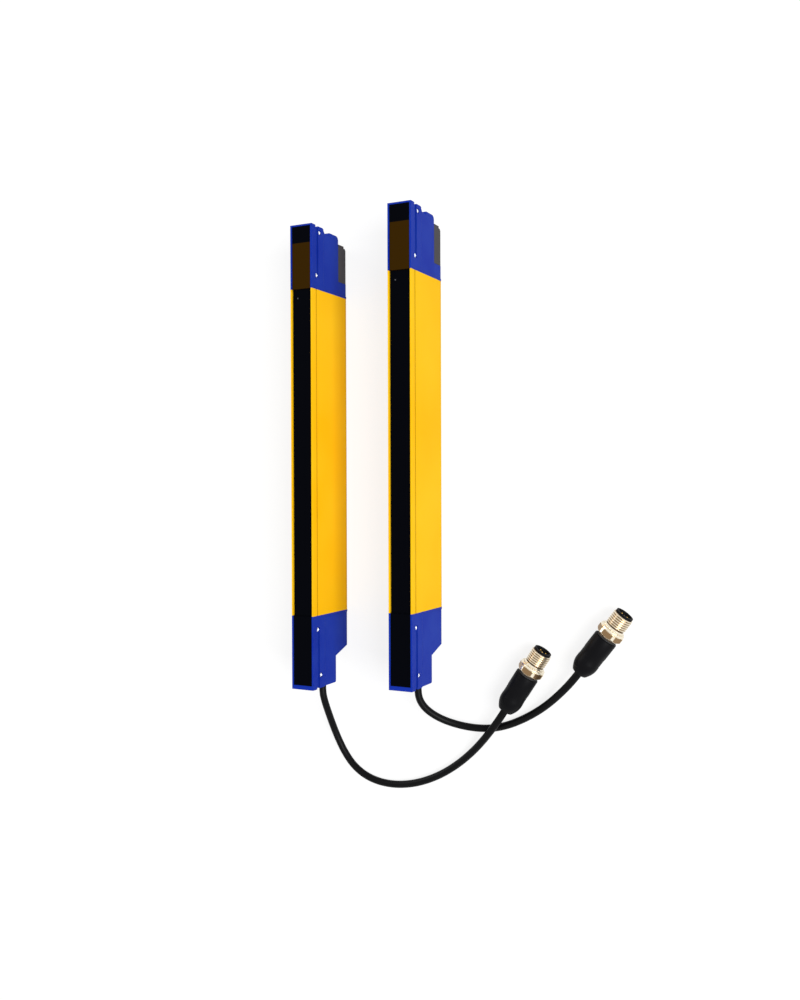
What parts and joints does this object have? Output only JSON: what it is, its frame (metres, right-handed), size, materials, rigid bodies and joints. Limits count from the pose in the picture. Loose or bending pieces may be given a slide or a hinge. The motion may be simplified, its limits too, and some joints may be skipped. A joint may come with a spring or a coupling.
{
  "type": "safety light curtain",
  "caption": "Pair of slim safety light curtain bars, emitter and receiver: yellow housing, blue end caps, black window, and a short lead with a round screw plug on each.",
  "frame": {"origin": "middle of the pair of bars, on the plane of their rear mounting faces", "axes": "+Z out of the windows, +Y along the bars away from the ends with the leads, +X from emitter to receiver"},
  "size_m": [0.199, 0.3494, 0.0415],
  "materials": {
    "yellow_coated_aluminium": "satin powder coat on extruded aluminium",
    "blue_plastic": "moulded, fine satin grain",
    "black_window": "polished smoked sheet",
    "amber_window": "polished amber-smoked sheet",
    "grey_plastic": "moulded, matt",
    "black_plastic": "moulded, satin",
    "black_rubber": "moulded rubber",
    "lens_plastic": "clear moulded lens",
    "circuit_board": "solder mask",
    "diode_resin": "cast tinted resin",
    "indicator_resin": "cast resin",
    "screw_steel": "zinc plated",
    "cable_jacket": "extruded jacket, satin",
    "moulded_grip": "overmoulded, fine matt grain",
    "nickel_brass": "turned, nickel plated",
    "gold_contacts": "gold plated pins"
  },
  "bodies": {
    "curtain": {"emitter_profile": "yellow_coated_aluminium", "emitter_front_window": "black_window", "emitter_window_bond": "black_rubber", "emitter_lens_carrier": "black_plastic", "emitter_lenses": "lens_plastic", "emitter_optic_board": "circuit_board", "emitter_infrared_leds": "diode_resin", "emitter_control_board": "circuit_board", "emitter_top_cap": "blue_plastic", "emitter_indicator_window": "amber_window", "emitter_end_window": "black_window", "emitter_top_frame": "black_plastic", "emitter_top_gasket": "black_rubber", "emitter_display_board": "circuit_board", "emitter_indicator_lights": "indicator_resin", "emitter_rear_cover": "grey_plastic", "emitter_setting_switches": "black_plastic", "emitter_bottom_cap": "blue_plastic", "emitter_bottom_window": "black_window", "emitter_bottom_frame": "black_plastic", "emitter_bottom_gasket": "black_rubber", "emitter_cap_screws": "screw_steel", "emitter_end_screws": "screw_steel", "emitter_cable_gland": "black_rubber", "emitter_cable": "cable_jacket", "emitter_plug_grip": "moulded_grip", "emitter_plug_ring": "black_rubber", "emitter_plug_insert": "black_plastic", "emitter_plug_pins": "gold_contacts", "receiver_profile": "yellow_coated_aluminium", "receiver_front_window": "black_window", "receiver_window_bond": "black_rubber", "receiver_lens_carrier": "black_plastic", "receiver_lenses": "lens_plastic", "receiver_optic_board": "circuit_board", "receiver_photodiodes": "diode_resin", "receiver_control_board": "circuit_board", "receiver_top_cap": "blue_plastic", "receiver_indicator_window": "amber_window", "receiver_end_window": "black_window", "receiver_top_frame": "black_plastic", "receiver_top_gasket": "black_rubber", "receiver_display_board": "circuit_board", "receiver_indicator_lights": "indicator_resin", "receiver_rear_cover": "grey_plastic", "receiver_setting_switches": "black_plastic", "receiver_bottom_cap": "blue_plastic", "receiver_bottom_window": "black_window", "receiver_bottom_frame": "black_plastic", "receiver_bottom_gasket": "black_rubber", "receiver_cap_screws": "screw_steel", "receiver_end_screws": "screw_steel", "receiver_cable_gland": "black_rubber", "receiver_cable": "cable_jacket", "receiver_plug_grip": "moulded_grip", "receiver_plug_ring": "black_rubber", "receiver_plug_insert": "black_plastic", "receiver_plug_pins": "gold_contacts"},
    "emitter_nut": {"emitter_plug_nut": "nickel_brass"},
    "receiver_nut": {"receiver_plug_nut": "nickel_brass"}
  },
  "joints": [
    {"name": "emitter_nut_turn", "type": "hinge", "parent": "curtain", "child": "emitter_nut", "pos_m": [0.10007, -0.12523, 0.0079], "axis": [0.5378, 0.8431, 0], "continuous": true},
    {"name": "receiver_nut_turn", "type": "hinge", "parent": "curtain", "child": "receiver_nut", "pos_m": [0.14614, -0.1012, 0.0079], "axis": [0.6047, 0.7964, 0], "continuous": true}
  ]
}
